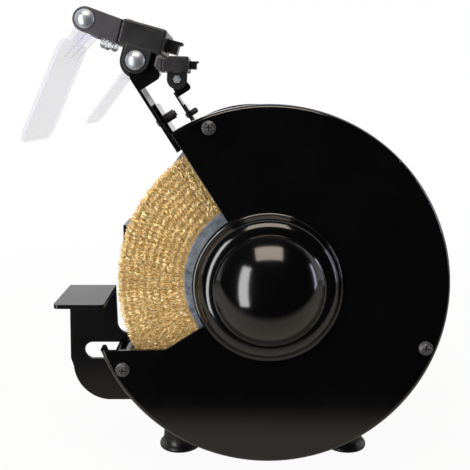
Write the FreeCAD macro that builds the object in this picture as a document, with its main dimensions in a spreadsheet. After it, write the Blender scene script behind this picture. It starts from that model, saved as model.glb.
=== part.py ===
import FreeCAD, Part
import math
import os
import Sketcher

Vector = FreeCAD.Vector
doc = FreeCAD.newDocument("bench_grinder")
sheet = doc.addObject("Spreadsheet::Sheet", "dims")
parts = {}
pockets = []


class Size:
    """A length or an angle, kept as a number and as the expression that gives it."""

    def __init__(self, value, text):
        self.value = value
        self.text = text

    def __add__(self, other):
        other = size(other)
        return Size(self.value + other.value, "(%s + %s)" % (self.text, other.text))

    def __radd__(self, other):
        return size(other) + self

    def __sub__(self, other):
        other = size(other)
        return Size(self.value - other.value, "(%s - %s)" % (self.text, other.text))

    def __rsub__(self, other):
        return size(other) - self

    def __mul__(self, other):
        other = size(other)
        return Size(self.value * other.value, "(%s * %s)" % (self.text, other.text))

    def __rmul__(self, other):
        return size(other) * self

    def __truediv__(self, other):
        other = size(other)
        return Size(self.value / other.value, "(%s / %s)" % (self.text, other.text))

    def __neg__(self):
        return size(0) - self


def size(item):
    """A plain number as a Size."""
    if isinstance(item, Size):
        return item
    return Size(float(item), "%.6f" % item if item >= 0 else "(0 - %.6f)" % -item)


def cosd(angle):
    return Size(math.cos(math.radians(angle.value)), "cos(%s)" % angle.text)


def sind(angle):
    return Size(math.sin(math.radians(angle.value)), "sin(%s)" % angle.text)


def root(item):
    return Size(math.sqrt(item.value), "sqrt(%s)" % item.text)


rows = [0]


def dim(alias, number):
    """One driving dimension: a cell of the sheet with its alias."""
    rows[0] += 1
    cell = "B%d" % rows[0]
    sheet.set("A%d" % rows[0], alias)
    sheet.set(cell, "%g" % number)
    sheet.setAlias(cell, alias)
    return Size(float(number), "dims." + alias)


# Overall layout
spindle_height = dim("spindle_height", 142)
wheel_radius = dim("wheel_radius", 100)
clamp_x = dim("clamp_x", 139)
brush_width = dim("brush_width", 22)
stone_width = dim("stone_width", 25)
blotter = dim("blotter", 0.5)
bench_x = dim("bench_x", 190)
bench_y = dim("bench_y", 125)
bench_bore = dim("bench_bore", 4.25)

# Guard
guard_gap = dim("guard_gap", 16)
guard_radius = wheel_radius + guard_gap
cover_gap = dim("cover_gap", 0.6)
sheet_gauge = dim("sheet_gauge", 2)
guard_back = dim("guard_back", 125)
guard_face = dim("guard_face", 173)
skirt_depth = dim("skirt_depth", 12)
edge_radius = dim("edge_radius", 3)
upper_angle = dim("upper_angle", 122.3)
lip_step = dim("lip_step", 8)
lip_end = dim("lip_end", 66)
screw_inset = dim("screw_inset", 8.1)
screw_ring = guard_radius - screw_inset
dome_base = dim("dome_base", 47.5)
dome_neck = dim("dome_neck", 34.2)
bead_radius = dim("bead_radius", 11)
dome_height = dim("dome_height", 27)

# Motor and base
housing_radius = dim("housing_radius", 72)
housing_wall = dim("housing_wall", 3)
housing_half = dim("housing_half", 78)
bearing_x = dim("bearing_x", 101)
bearing_width = dim("bearing_width", 14)
bearing_bore = dim("bearing_bore", 10)
bearing_outer = dim("bearing_outer", 23.5)
core_half = dim("core_half", 35)
rotor_inset = dim("rotor_inset", 31.5)
rotor_radius = housing_radius - rotor_inset
tie_inset = dim("tie_inset", 10)
tie_ring = housing_radius - tie_inset
guard_bolt_ring = dim("guard_bolt_ring", 36)
foot_height = dim("foot_height", 20)
foot_radius = dim("foot_radius", 15.5)
flange_thick = dim("flange_thick", 7)
base_x = dim("base_x", 88)
base_y = dim("base_y", 60)
base_top_x = dim("base_top_x", 74)
base_top_y = dim("base_top_y", 50)
saddle_drop = dim("saddle_drop", 37)
saddle_x = dim("saddle_x", 45)
saddle_y = dim("saddle_y", 20)
roof_thick = dim("roof_thick", 8)
base_wall = dim("base_wall", 6)

# Spark arrester bracket, in the plane of the upper guard opening
arrester_x = dim("arrester_x", 131)
spark_gap = dim("spark_gap", 3)
arrester_rise = dim("arrester_rise", 37)
arrester_tip = wheel_radius + spark_gap
arrester_top = guard_radius + arrester_rise
tab_gauge = dim("tab_gauge", 2)
screw_rise = dim("screw_rise", 9.6)
screw_radial = guard_radius + screw_rise
ear_x = dim("ear_x", 166.2)
pivot_rise = dim("pivot_rise", 49.2)
pivot_radial = guard_radius + pivot_rise
pivot_back = dim("pivot_back", 5.9)

# Lamp unit
lamp_in = dim("lamp_in", 125)
lamp_out = dim("lamp_out", 175)
lamp_tilt = dim("lamp_tilt", -15.5)
lamp_tilt_left = dim("lamp_tilt_left", -2)
case_front = dim("case_front", 14)
case_rear = dim("case_rear", 14.4)
case_floor = dim("case_floor", 7.2)
case_high = dim("case_high", 16)
case_wall = dim("case_wall", 1.6)
head_reach = dim("head_reach", 36.4)
head_rise = dim("head_rise", 16.2)
head_radius = dim("head_radius", 7.8)
cheek = dim("cheek", 6)
bolt_radius = dim("bolt_radius", 2.5)

# Eye shield
shield_lean = dim("shield_lean", -23.2)
shield_lean_left = dim("shield_lean_left", -37)
shield_x = dim("shield_x", 115)
shield_wide = dim("shield_wide", 70)
shield_drop = dim("shield_drop", 84.6)
shield_gauge = dim("shield_gauge", 2.5)

# Tool rest
rest_gauge = dim("rest_gauge", 2.7)
rest_top = dim("rest_top", 12)
rest_gap = dim("rest_gap", 5.5)
rest_depth = dim("rest_depth", 32.5)
rest_inner = wheel_radius + rest_gap
rest_reach = rest_inner + rest_depth
rest_near = dim("rest_near", 172)
rest_bolt_inset = dim("rest_bolt_inset", 16.9)
rest_bolt_angle = dim("rest_bolt_angle", 36.18)
slot_half = dim("slot_half", 6)
doc.recompute()

spark_angle = upper_angle - 90
rest_bolt_y = (guard_radius - rest_bolt_inset) * cosd(rest_bolt_angle)
rest_bolt_z = (guard_radius - rest_bolt_inset) * sind(rest_bolt_angle)
guard_lip = rest_bolt_z - 8.5
cover_lip = guard_lip - lip_step


def bind(item, prop, item_size):
    item.setExpression(prop, size(item_size).text)


def place(item, x=0, y=0, z=0, turn=None):
    """Bind the placement of a sub-part, with an optional turn about X."""
    if turn is not None:
        item.Placement = FreeCAD.Placement(Vector(0, 0, 0), FreeCAD.Rotation(Vector(1, 0, 0), 1))
        bind(item, "Placement.Rotation.Angle", turn)
    for axis, shift in zip("xyz", (x, y, z)):
        if isinstance(shift, Size) or shift != 0:
            bind(item, "Placement.Base." + axis, shift)
    return item


def circle(x, y, radius):
    return ("circle", size(x), size(y), size(radius))


def rect(x0, x1, y0, y1, radius=None):
    x0, x1, y0, y1 = size(x0), size(x1), size(y0), size(y1)
    if radius is None:
        return [(x0, y0), (x1, y0), (x1, y1), (x0, y1)]
    r = size(radius)
    return [
        (x0 + r, y0), (x1 - r, y0, r, 1), (x1, y0 + r), (x1, y1 - r, r, 1),
        (x1 - r, y1), (x0 + r, y1, r, 1), (x0, y1 - r), (x0, y0 + r, r, 1),
    ]


def slot(x0, x1, y, half):
    """A long hole along the first axis, its ends in quarter arcs."""
    x0, x1, y, h = size(x0), size(x1), size(y), size(half)
    return [
        (x0, y - h), (x1, y - h, h, 1), (x1 + h, y, h, 1),
        (x1, y + h), (x0, y + h, h, 1), (x0 - h, y, h, 1),
    ]


def upright(outline):
    """The same outline with its two axes changed over and its turn kept."""
    flipped = [(p[1], p[0]) for p in outline]
    out = []
    count = len(outline)
    for index in range(count):
        here = count - 1 - index
        before = outline[(here - 1) % count]
        point = flipped[here]
        if len(before) == 4:
            point = point + (before[2], before[3])
        out.append(point)
    return out


def hexagon(x, y, flats):
    """A hexagon by its width across flats."""
    corner = size(flats) / math.sqrt(3)
    half = size(flats) / 2
    x, y = size(x), size(y)
    return [
        (x + corner, y), (x + corner / 2, y + half), (x - corner / 2, y + half),
        (x - corner, y), (x - corner / 2, y - half), (x + corner / 2, y - half),
    ]


class Piece:
    """A body with its sketches and features."""

    def __init__(self, label, keep=True):
        self.body = doc.addObject("PartDesign::Body", label)
        self.body.Label = label
        if keep:
            parts[label] = self.body

    def sketch(self, plane, outlines, offset):
        count = len(self.body.Group)
        sk = self.body.newObject("Sketcher::SketchObject", "%s_outline%d" % (self.body.Name, count))
        role = plane + "_Plane"
        support = [f for f in self.body.Origin.OriginFeatures if f.Role == role][0]
        sk.AttachmentSupport = [(support, "")]
        sk.MapMode = "FlatFace"
        bind(sk, "AttachmentOffset.Base.z", offset)
        for outline in outlines:
            if outline[0] == "circle":
                draw_circle(sk, outline)
            else:
                draw_outline(sk, outline)
        return sk

    def pad(self, plane, outlines, start, end):
        start, end = size(start), size(end)
        offset = -end if plane == "XZ" else start
        sk = self.sketch(plane, outlines, offset)
        item = self.body.newObject("PartDesign::Pad", sk.Name + "_pad")
        item.Profile = sk
        bind(item, "Length", end - start)
        return item

    def pocket(self, plane, outlines, start, end):
        start, end = size(start), size(end)
        offset = -start if plane == "XZ" else end
        sk = self.sketch(plane, outlines, offset)
        item = self.body.newObject("PartDesign::Pocket", sk.Name + "_pocket")
        item.Profile = sk
        bind(item, "Length", end - start)
        pockets.append(item)
        return item

    def turn(self, outline, plane="XZ", axis="H_Axis", cut=False):
        sk = self.sketch(plane, [outline], 0)
        kind = "Groove" if cut else "Revolution"
        item = self.body.newObject("PartDesign::" + kind, sk.Name + "_turned")
        item.Profile = sk
        item.ReferenceAxis = (sk, [axis])
        item.Angle = 360
        return item

    def loft(self, lower, upper, z0, z1, cut=False):
        first = self.sketch("XY", [lower], z0)
        second = self.sketch("XY", [upper], z1)
        kind = "SubtractiveLoft" if cut else "AdditiveLoft"
        item = self.body.newObject("PartDesign::" + kind, first.Name + "_loft")
        item.Profile = first
        item.Sections = [second]
        item.Ruled = True
        return item

    def round_edges(self, radius, chosen, kind="Fillet"):
        """Round or bevel the edges that a test on their middle point picks."""
        doc.recompute()
        tip = self.body.Tip
        names = []
        for index, edge in enumerate(tip.Shape.Edges):
            middle = edge.valueAt((edge.FirstParameter + edge.LastParameter) / 2)
            if chosen(edge, middle):
                names.append("Edge%d" % (index + 1))
        item = self.body.newObject("PartDesign::" + kind, "%s_%s" % (self.body.Name, kind.lower()))
        item.Base = (tip, names)
        bind(item, "Radius" if kind == "Fillet" else "Size", radius)
        return item


def fix_point(sk, geometry, end, x, y):
    for kind, value in (("DistanceX", x), ("DistanceY", y)):
        index = sk.addConstraint(Sketcher.Constraint(kind, -1, 1, geometry, end, value.value))
        sk.setExpression("Constraints[%d]" % index, value.text)


def draw_circle(sk, outline):
    x, y, radius = outline[1:]
    middle = Vector(x.value, y.value, 0)
    index = sk.addGeometry(Part.Circle(middle, Vector(0, 0, 1), radius.value), False)
    fix_point(sk, index, 3, x, y)
    rule = sk.addConstraint(Sketcher.Constraint("Radius", index, radius.value))
    sk.setExpression("Constraints[%d]" % rule, radius.text)


def draw_outline(sk, outline):
    """A closed outline of lines and arcs; an arc vertex also holds its radius and turn."""
    points = [tuple(size(v) for v in p[:2]) for p in outline]
    count = len(points)
    ends = []
    for index in range(count):
        a = Vector(points[index][0].value, points[index][1].value, 0)
        after = points[(index + 1) % count]
        b = Vector(after[0].value, after[1].value, 0)
        if len(outline[index]) == 2:
            geometry = sk.addGeometry(Part.LineSegment(a, b), False)
            ends.append((geometry, 1, 2, None))
            continue
        radius, sense = size(outline[index][2]), outline[index][3]
        chord = b - a
        side = Vector(-chord.y, chord.x, 0).normalize()
        reach = math.sqrt(max(radius.value ** 2 - (chord.Length / 2) ** 2, 0))
        middle = (a + b) * 0.5 + side * (reach * sense)
        first, last = (a, b) if sense > 0 else (b, a)
        angle0 = math.atan2(first.y - middle.y, first.x - middle.x)
        angle1 = math.atan2(last.y - middle.y, last.x - middle.x)
        ring = Part.Circle(middle, Vector(0, 0, 1), radius.value)
        geometry = sk.addGeometry(Part.ArcOfCircle(ring, angle0, angle1), False)
        ends.append((geometry, 1 if sense > 0 else 2, 2 if sense > 0 else 1, radius))
    for index in range(count):
        geometry, start, end, radius = ends[index]
        after = ends[(index + 1) % count]
        sk.addConstraint(Sketcher.Constraint("Coincident", geometry, end, after[0], after[1]))
        fix_point(sk, geometry, start, points[index][0], points[index][1])
        if radius is not None:
            rule = sk.addConstraint(Sketcher.Constraint("Radius", geometry, radius.value))
            sk.setExpression("Constraints[%d]" % rule, radius.text)


def copy_at(form, x=0, y=0, z=0, turn=None):
    link = doc.addObject("App::Link", form.Name + "_copy")
    link.LinkedObject = form
    return place(link, x, y, z, turn)


def mirrored(source, label=None):
    item = doc.addObject("Part::Mirroring", label or source.Name + "_mirrored")
    item.Source = source
    item.Normal = Vector(1, 0, 0)
    if label:
        item.Label = label
        parts[label] = item
    return item


def group(label, items):
    item = doc.addObject("Part::Compound", label)
    item.Label = label
    item.Links = items
    parts[label] = item
    return item


def pair(label, items):
    """One group of a set on the right and its mirrored set on the left."""
    right = doc.addObject("Part::Compound", label + "_right_set")
    right.Links = items
    return group(label, [right, mirrored(right)])


def joined(label, items, kind="Part::MultiFuse"):
    item = doc.addObject(kind, label)
    item.Label = label
    item.Shapes = items
    parts[label] = item
    return item


def at_spindle(piece):
    return place(piece.body, z=spindle_height)


# Base pedestal with its bench flange and motor saddle
flange_top = foot_height + flange_thick
base_top = spindle_height - saddle_drop
roof = spindle_height - housing_radius - roof_thick
front_slope = (base_y - base_top_y) / (base_top - flange_top)
side_slope = (base_x - base_top_x) / (base_top - flange_top)
switch_z = flange_top + 25
switch_wall = base_y - 25 * front_slope
gland_z = flange_top + 14
gland_wall = base_y - 14 * front_slope
half_x, half_y = bench_x / 2, bench_y / 2
corners = [(half_x, half_y), (-half_x, half_y), (-half_x, -half_y), (half_x, -half_y)]
plate_x, plate_y = base_x - 28, base_y - 7
plate_holes = [(plate_x, plate_y), (-plate_x, plate_y), (-plate_x, -plate_y), (plate_x, -plate_y)]
saddle_holes = [(saddle_x, saddle_y), (-saddle_x, saddle_y), (-saddle_x, -saddle_y),
                (saddle_x, -saddle_y)]

base = Piece("base")
base.pad("XY", [rect(-half_x - 15, half_x + 15, -half_y - 14.5, half_y + 14.5, 14)], foot_height,
         flange_top)
base.loft(rect(-base_x, base_x, -base_y, base_y, 12),
          rect(-base_top_x, base_top_x, -base_top_y, base_top_y, 12), flange_top - 0.5, base_top)
base.pocket("YZ", [circle(0, spindle_height, housing_radius + 0.3)], -base_x - 10, base_x + 10)
cave_x, cave_y = base_x - base_wall, base_y - base_wall - 4
roof_x = cave_x - side_slope * (roof - flange_top)
roof_y = cave_y - front_slope * (roof - flange_top)
base.loft(rect(-cave_x, cave_x, -cave_y, cave_y, 9), rect(-roof_x, roof_x, -roof_y, roof_y, 9),
          foot_height - 1, roof, cut=True)
base.pocket("XY", [circle(x, y, bench_bore) for x, y in corners], foot_height - 1, flange_top + 1)
base.pocket("XY", [circle(x, y, 2.1) for x, y in plate_holes], foot_height - 1, flange_top - 1)
base.pocket("XY", [circle(x, y, 2.7) for x, y in saddle_holes], roof - 5, base_top)
base.pocket("XY", [circle(0, 0, 8)], roof - 5, base_top)
base.pocket("XZ", [rect(-14.2, 14.2, switch_z - 12.2, switch_z + 12.2)], -base_y - 5, -base_top_y + 16)
base.pocket("XZ", [circle(0, gland_z, 9)], base_top_y - 16, base_y + 5)

plate = Piece("base_plate")
plate.pad("XY", [rect(6 - base_x, base_x - 6, 3 - base_y, base_y - 3, 10)], foot_height - 1.5,
          foot_height)
plate.pocket("XY", [circle(x, y, 2.2) for x, y in plate_holes], foot_height - 3, foot_height + 1)

foot = Piece("foot_form", keep=False)
foot.turn([(bench_bore, 0), (foot_radius - 1.5, 0, 1.5, 1), (foot_radius, 1.5),
           (foot_radius, 5.2, 1.5, 1),
           (foot_radius - 1.5, 6.7), (foot_radius - 2.2, 6.7, 0.8, -1), (foot_radius - 3, 7.5),
           (foot_radius - 3, foot_height), (bench_bore, foot_height)], axis="V_Axis")
group("rubber_feet", [copy_at(foot.body, x, y) for x, y in corners])

tap = Piece("plate_screw_form", keep=False)
tap.turn([(0, -1.5), (0, 5), (2, 5), (2, 0), (3.6, 0), (3.6, -1.5)], axis="V_Axis")
tap.body.Tip = tap.body.Group[-1]
group("base_plate_screws", [copy_at(tap.body, x, y, foot_height - 1.5) for x, y in plate_holes])

shell_bore = housing_radius - housing_wall
saddle_top = spindle_height - root(shell_bore * shell_bore - saddle_y * saddle_y)
bolt = Piece("motor_screw_form", keep=False)
bolt.pad("XY", [hexagon(0, 0, 8)], -3.5, 0)
bolt.pad("XY", [circle(0, 0, 2.5)], -1, saddle_top - roof + 2)
group("motor_screws", [copy_at(bolt.body, x, y, roof) for x, y in saddle_holes])

# Motor shell, end bells and tie bolts
housing = Piece("motor_housing")
housing.turn([(-housing_half, shell_bore), (housing_half, shell_bore), (housing_half, housing_radius),
              (-housing_half, housing_radius)])
housing.pocket("XY", [circle(x, y, 2.6) for x, y in saddle_holes], -housing_radius - 5,
               22 - housing_radius)
housing.pocket("XY", [circle(0, 0, 8)], -housing_radius - 5, 22 - housing_radius)
at_spindle(housing)

tie_offset = tie_ring * math.sqrt(0.5)
tie_places = [(tie_offset, tie_offset), (-tie_offset, tie_offset),
              (-tie_offset, -tie_offset), (tie_offset, -tie_offset)]
bolt_y, bolt_z = guard_bolt_ring * math.cos(math.radians(30)), guard_bolt_ring / 2
guard_bolts = [(0, guard_bolt_ring), (-bolt_y, -bolt_z), (bolt_y, -bolt_z)]
bearing_end = bearing_x + bearing_width
tie_end = housing_half + 28
bell = Piece("end_bell_right")
bell.turn([
    (housing_half - 4, housing_radius - 7), (housing_half + 12, housing_radius - 6),
    (guard_back - 19, 45),
    (guard_back - 19, bearing_outer + 6), (bearing_x, bearing_outer + 6), (bearing_x, bearing_outer),
    (bearing_end + 0.5, bearing_outer), (bearing_end + 0.5, 13.5), (guard_back, 13.5), (guard_back, 46),
    (guard_back - 13, 46), (housing_half + 14, housing_radius), (housing_half, housing_radius),
    (housing_half, shell_bore - 0.1), (housing_half - 4, shell_bore - 0.1),
])
bell.pad("YZ", [circle(y, z, 6) for y, z in tie_places], housing_half + 4, tie_end)
bell.pocket("YZ", [circle(y, z, 2.7) for y, z in tie_places], housing_half - 5, tie_end + 1)
bell.pocket("YZ", [circle(y, z, 3) for y, z in guard_bolts], guard_back - 15, guard_back + 1)
at_spindle(bell)
mirrored(bell.body, "end_bell_left")

tie = Piece("tie_form", keep=False)
tie.pad("YZ", [circle(0, 0, 2.5)], -tie_end - 7, tie_end + 1)
tie.pad("YZ", [hexagon(0, 0, 8)], tie_end, tie_end + 3.5)
tie_nut = Piece("tie_nut_form", keep=False)
tie_nut.pad("YZ", [hexagon(0, 0, 8), circle(0, 0, 2.55)], -tie_end - 4, -tie_end)
tie_forms = (tie.body, tie_nut.body)
group("through_bolts", [copy_at(form, 0, y, spindle_height + z) for form in tie_forms for y,
                        z in tie_places])

# Stator, windings and bearings
stator = Piece("stator_core")
stator.turn([(-core_half, rotor_radius + 0.5), (core_half, rotor_radius + 0.5),
             (core_half, shell_bore - 0.05),
             (-core_half, shell_bore - 0.05)])
stator.pocket("YZ", [circle(y, z, 3) for y, z in tie_places], -core_half - 1, core_half + 1)
at_spindle(stator)

coil = Piece("winding_form", keep=False)
coil.turn([(core_half, rotor_radius + 3.5), (core_half + 12, rotor_radius + 3.5, 6, 1),
           (core_half + 18, rotor_radius + 9.5), (core_half + 18, rotor_radius + 11, 6, 1),
           (core_half + 12, rotor_radius + 17), (core_half, rotor_radius + 17)])
at_spindle(coil)
group("stator_windings", [coil.body, mirrored(coil.body)])

ball_ring = (bearing_bore + bearing_outer) / 2
bearing_mid = bearing_x + bearing_width / 2
ball = 4
outer_ring = Piece("outer_ring_form", keep=False)
outer_ring.turn([(bearing_x, bearing_outer - 3.3), (bearing_mid - 3, bearing_outer - 3.3),
                 (bearing_mid - 3, ball_ring + 4.3), (bearing_mid + 3, ball_ring + 4.3),
                 (bearing_mid + 3, bearing_outer - 3.3), (bearing_end, bearing_outer - 3.3),
                 (bearing_end, bearing_outer - 0.02), (bearing_x, bearing_outer - 0.02)])
at_spindle(outer_ring)
group("bearing_outer_rings", [outer_ring.body, mirrored(outer_ring.body)])
inner_ring = Piece("inner_ring_form", keep=False)
inner_ring.turn([(bearing_x, bearing_bore + 0.02), (bearing_end, bearing_bore + 0.02),
                 (bearing_end, bearing_bore + 3.2),
                 (bearing_mid + 3, bearing_bore + 3.2), (bearing_mid + 3, ball_ring - 4.1),
                 (bearing_mid - 3, ball_ring - 4.1), (bearing_mid - 3, bearing_bore + 3.2),
                 (bearing_x, bearing_bore + 3.2)])
at_spindle(inner_ring)
group("bearing_inner_rings", [inner_ring.body, mirrored(inner_ring.body)])
sphere = doc.addObject("Part::Sphere", "ball_form")
sphere.Radius = ball
ball_copies = []
for side in (1, -1):
    for step in range(8):
        angle = math.radians(45 * step)
        ball_copies.append(copy_at(sphere, side * bearing_mid, ball_ring * math.cos(angle),
                                   spindle_height + ball_ring * math.sin(angle)))
group("bearing_balls", ball_copies)

# Run capacitor, mains switch and cord gland in the base
can = Piece("capacitor")
can_radius = 0.38 * (roof - foot_height)
can.turn([(-30, 0), (30, 0), (30, 3), (34, 3), (34, 5), (30, 5), (30, can_radius - 1, 1, 1),
          (29, can_radius), (-29, can_radius, 1, 1), (-30, can_radius - 1)])
place(can.body, y=10, z=foot_height + can_radius + 0.05)

switch_turn = Size(-math.degrees(math.atan(front_slope.value)),
                   "(0 - atan(%s) / (1 deg))" % front_slope.text)
rocker_set = 3
frame = Piece("switch_frame")
frame.pad("XZ", [rect(-17, 17, -13.5, 13.5, 2)], -2, 0)
frame.pad("XZ", [rect(-13.8, 13.8, -10.3, 10.3)], -0.5, 14)
frame.pocket("XZ", [rect(-10.4, 10.4, -8.2, 8.2)], -3, 10)
frame.pocket("YZ", [circle(rocker_set, 0, 2.2)], -12.4, 12.4)
place(frame.body, y=-switch_wall, z=switch_z, turn=switch_turn)
rocker_turn = switch_turn - 7
rocker = Piece("switch_rocker")
rocker.pad("YZ", [[(4, -4), (-4, -6.8), (-7.2, -6.8, 30, -1), (-7.2, 6.8), (-4, 6.8), (4, 4)]], -10, 10)
rocker.pad("YZ", [circle(0, 0, 1.8)], -12.1, 12.1)
rocker_y = -switch_wall + rocker_set * cosd(switch_turn)
rocker_z = switch_z + rocker_set * sind(switch_turn)
place(rocker.body, y=rocker_y, z=rocker_z, turn=rocker_turn)

gland = Piece("cord_gland")
gland.turn([(4.2, -10), (7.8, -10), (7.8, 0), (11.5, 0), (11.5, 3, 1.5, 1), (10, 4.5), (8.5, 4.5),
            (6.5, 15),
            (4.2, 15)], plane="XY", axis="V_Axis")
place(gland.body, y=gland_wall, z=gland_z, turn=-switch_turn)

# Spindle and what turns with it
clamp_step = clamp_x - 8
end_radius = dim("end_radius", 8)
spindle_end = dim("spindle_end", 188)
doc.recompute()
spindle = Piece("spindle")
profile = [(core_half + 12, 12), (bearing_x, 12), (bearing_x, bearing_bore), (clamp_step, bearing_bore),
           (clamp_step, end_radius), (spindle_end - 1.5, end_radius), (spindle_end, end_radius - 1.5)]
mirror_profile = [(-x, r) for x, r in reversed(profile)]
spindle.turn(mirror_profile + profile + [(spindle_end, 0), (-spindle_end, 0)])
at_spindle(spindle)
rotor = Piece("rotor_core")
rotor.turn([(-core_half, 12.03), (core_half, 12.03), (core_half, rotor_radius),
            (-core_half, rotor_radius)])
at_spindle(rotor)
ring = Piece("rotor_ring_form", keep=False)
ring.turn([(core_half, rotor_radius - 16), (core_half + 9, rotor_radius - 15),
           (core_half + 9, rotor_radius - 4),
           (core_half, rotor_radius - 2)])
at_spindle(ring)
group("rotor_end_rings", [ring.body, mirrored(ring.body)])

flange = Piece("inner_flange_form", keep=False)
flange.turn([(clamp_step, end_radius + 0.02), (clamp_x - 1.5, end_radius + 0.02),
             (clamp_x - 1.5, 24), (clamp_x, 25),
             (clamp_x, 31), (clamp_x - 2, 32), (clamp_x - 4, 32), (clamp_step, 16)])
at_spindle(flange)
group("inner_flanges", [flange.body, mirrored(flange.body)])
brush_face = clamp_x + brush_width
stone_face = clamp_x + stone_width + 2 * blotter


def clamp_flange(label, face):
    piece = Piece(label, keep=False)
    piece.turn([(face + 1.5, end_radius + 0.02), (face + 7, end_radius + 0.02), (face + 7, 16),
                (face + 4, 32),
                (face + 2, 32), (face, 31), (face, 25), (face + 1.5, 24)])
    at_spindle(piece)
    return piece.body


def clamp_nut(label, face):
    piece = Piece(label, keep=False)
    piece.pad("YZ", [hexagon(0, 0, 24), circle(0, 0, end_radius + 0.02)], face + 7, face + 20)
    at_spindle(piece)
    return piece.body


group("outer_flanges", [clamp_flange("outer_flange_a", brush_face),
                        mirrored(clamp_flange("outer_flange_b", stone_face))])
group("spindle_nuts", [clamp_nut("spindle_nut_a", brush_face),
                       mirrored(clamp_nut("spindle_nut_b", stone_face))])

# Wire wheel on the right: hub sleeve, side plates and bristle ring
side_plate = 1.5
plate_radius = dim("plate_radius", 55)
doc.recompute()
hub = Piece("brush_hub")
hub.turn([(clamp_x + side_plate, end_radius + 0.05), (brush_face - side_plate, end_radius + 0.05),
          (brush_face - side_plate, 20), (clamp_x + side_plate, 20)])
at_spindle(hub)
outer_disc = Piece("brush_disc_a", keep=False)
outer_disc.turn([(brush_face - side_plate, end_radius + 0.05), (brush_face, end_radius + 0.05),
                 (brush_face, 36),
                 (brush_face - 0.7, 40), (brush_face - 0.7, plate_radius - 1),
                 (brush_face - side_plate, plate_radius)])
at_spindle(outer_disc)
inner_disc = Piece("brush_disc_b", keep=False)
inner_disc.turn([(clamp_x + side_plate, end_radius + 0.05), (clamp_x + side_plate, plate_radius),
                 (clamp_x + 0.7, plate_radius - 1), (clamp_x + 0.7, 40), (clamp_x, 36),
                 (clamp_x, end_radius + 0.05)])
at_spindle(inner_disc)
group("brush_side_plates", [outer_disc.body, inner_disc.body])
bristle = Piece("brush_bristles")
bristle.turn([(clamp_x + side_plate, 20.05), (brush_face - side_plate, 20.05),
              (brush_face - side_plate, plate_radius + 1),
              (brush_face, plate_radius + 8), (brush_face, wheel_radius - 1),
              (brush_face - 1, wheel_radius),
              (clamp_x + 1, wheel_radius), (clamp_x, wheel_radius - 1), (clamp_x, plate_radius + 8),
              (clamp_x + side_plate, plate_radius + 1)])
at_spindle(bristle)

# Grinding wheel on the left with its bush and blotters
stone_in = clamp_x + blotter
stone_out = stone_in + stone_width
stone = Piece("grinding_wheel")
stone.turn([(-stone_out, 16), (-stone_in, 16), (-stone_in, wheel_radius - 1),
            (-stone_in - 1, wheel_radius),
            (-stone_out + 1, wheel_radius), (-stone_out, wheel_radius - 1)])
at_spindle(stone)
bush = Piece("wheel_bush")
bush.turn([(-stone_out, end_radius + 0.05), (-stone_in, end_radius + 0.05), (-stone_in, 15.7),
           (-stone_out, 15.7)])
at_spindle(bush)
paper_in = Piece("blotter_a", keep=False)
paper_in.turn([(-stone_in, 17), (-clamp_x, 17), (-clamp_x, 38), (-stone_in, 38)])
at_spindle(paper_in)
paper_out = Piece("blotter_b", keep=False)
paper_out.turn([(-stone_out - blotter, 17), (-stone_out, 17), (-stone_out, 38),
                (-stone_out - blotter, 38)])
at_spindle(paper_out)
group("wheel_blotters", [paper_in.body, paper_out.body])

# Wheel guard: drum with front opening, cover pillars, tool rest hole and arrester tab
drum_radius = guard_radius - sheet_gauge - cover_gap
drum_bore = drum_radius - sheet_gauge
pillar_angles = (110.6, 209.9, 338.4)
pillars = [(screw_ring * math.cos(math.radians(a)),
            screw_ring * math.sin(math.radians(a))) for a in pillar_angles]


def opening(hub_radius, lip):
    """The front opening of guard and cover: radial top edge, hub arc and lower lip."""
    foot_y = -(hub_radius * 0.853)
    reach = guard_radius + 34
    return [
        (reach * cosd(upper_angle), reach * sind(upper_angle)), (-reach - 20, reach * sind(upper_angle)),
        (-reach - 20, -lip - 1), (-lip_end, -lip + 1),
        (foot_y, -(root(hub_radius * hub_radius - foot_y * foot_y)), hub_radius, -1),
        (hub_radius * cosd(upper_angle), hub_radius * sind(upper_angle)),
    ]


drum = Piece("guard_drum_form", keep=False)
drum.turn([(guard_back, 26), (guard_back, drum_radius - edge_radius, edge_radius, -1),
           (guard_back + edge_radius, drum_radius), (guard_face - 2.5, drum_radius),
           (guard_face - 2.5, drum_bore),
           (guard_back + sheet_gauge, drum_bore), (guard_back + sheet_gauge, 26)])
drum.pocket("YZ", [opening(size(62), guard_lip)], guard_back - 1, guard_face)
drum.pad("YZ", [circle(y, z, 4.8) for y, z in pillars], guard_back + 0.5, guard_face - sheet_gauge)
drum.pocket("YZ", [circle(y, z, 2.6) for y, z in pillars], guard_face - 18, guard_face)
drum.pocket("YZ", [circle(-rest_bolt_y, -rest_bolt_z, 5.4)], guard_back - 1, guard_back + 5)
drum.pocket("YZ", [circle(y, z, 3.1) for y, z in guard_bolts], guard_back - 1, guard_back + 5)
at_spindle(drum)
tab = Piece("guard_tab_form", keep=False)
tab.pad("YZ", [rect(-1.5, tab_gauge - 1.5, drum_bore + 0.5, arrester_top - 16)], arrester_x,
        guard_face - skirt_depth - 0.5)
tab.pocket("XZ", [circle(arrester_x + 17, screw_radial, 2.1)], -5, 5)
place(tab.body, z=spindle_height, turn=spark_angle)
guard = joined("guard_right", [drum.body, tab.body])
mirrored(guard, "guard_left")

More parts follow.
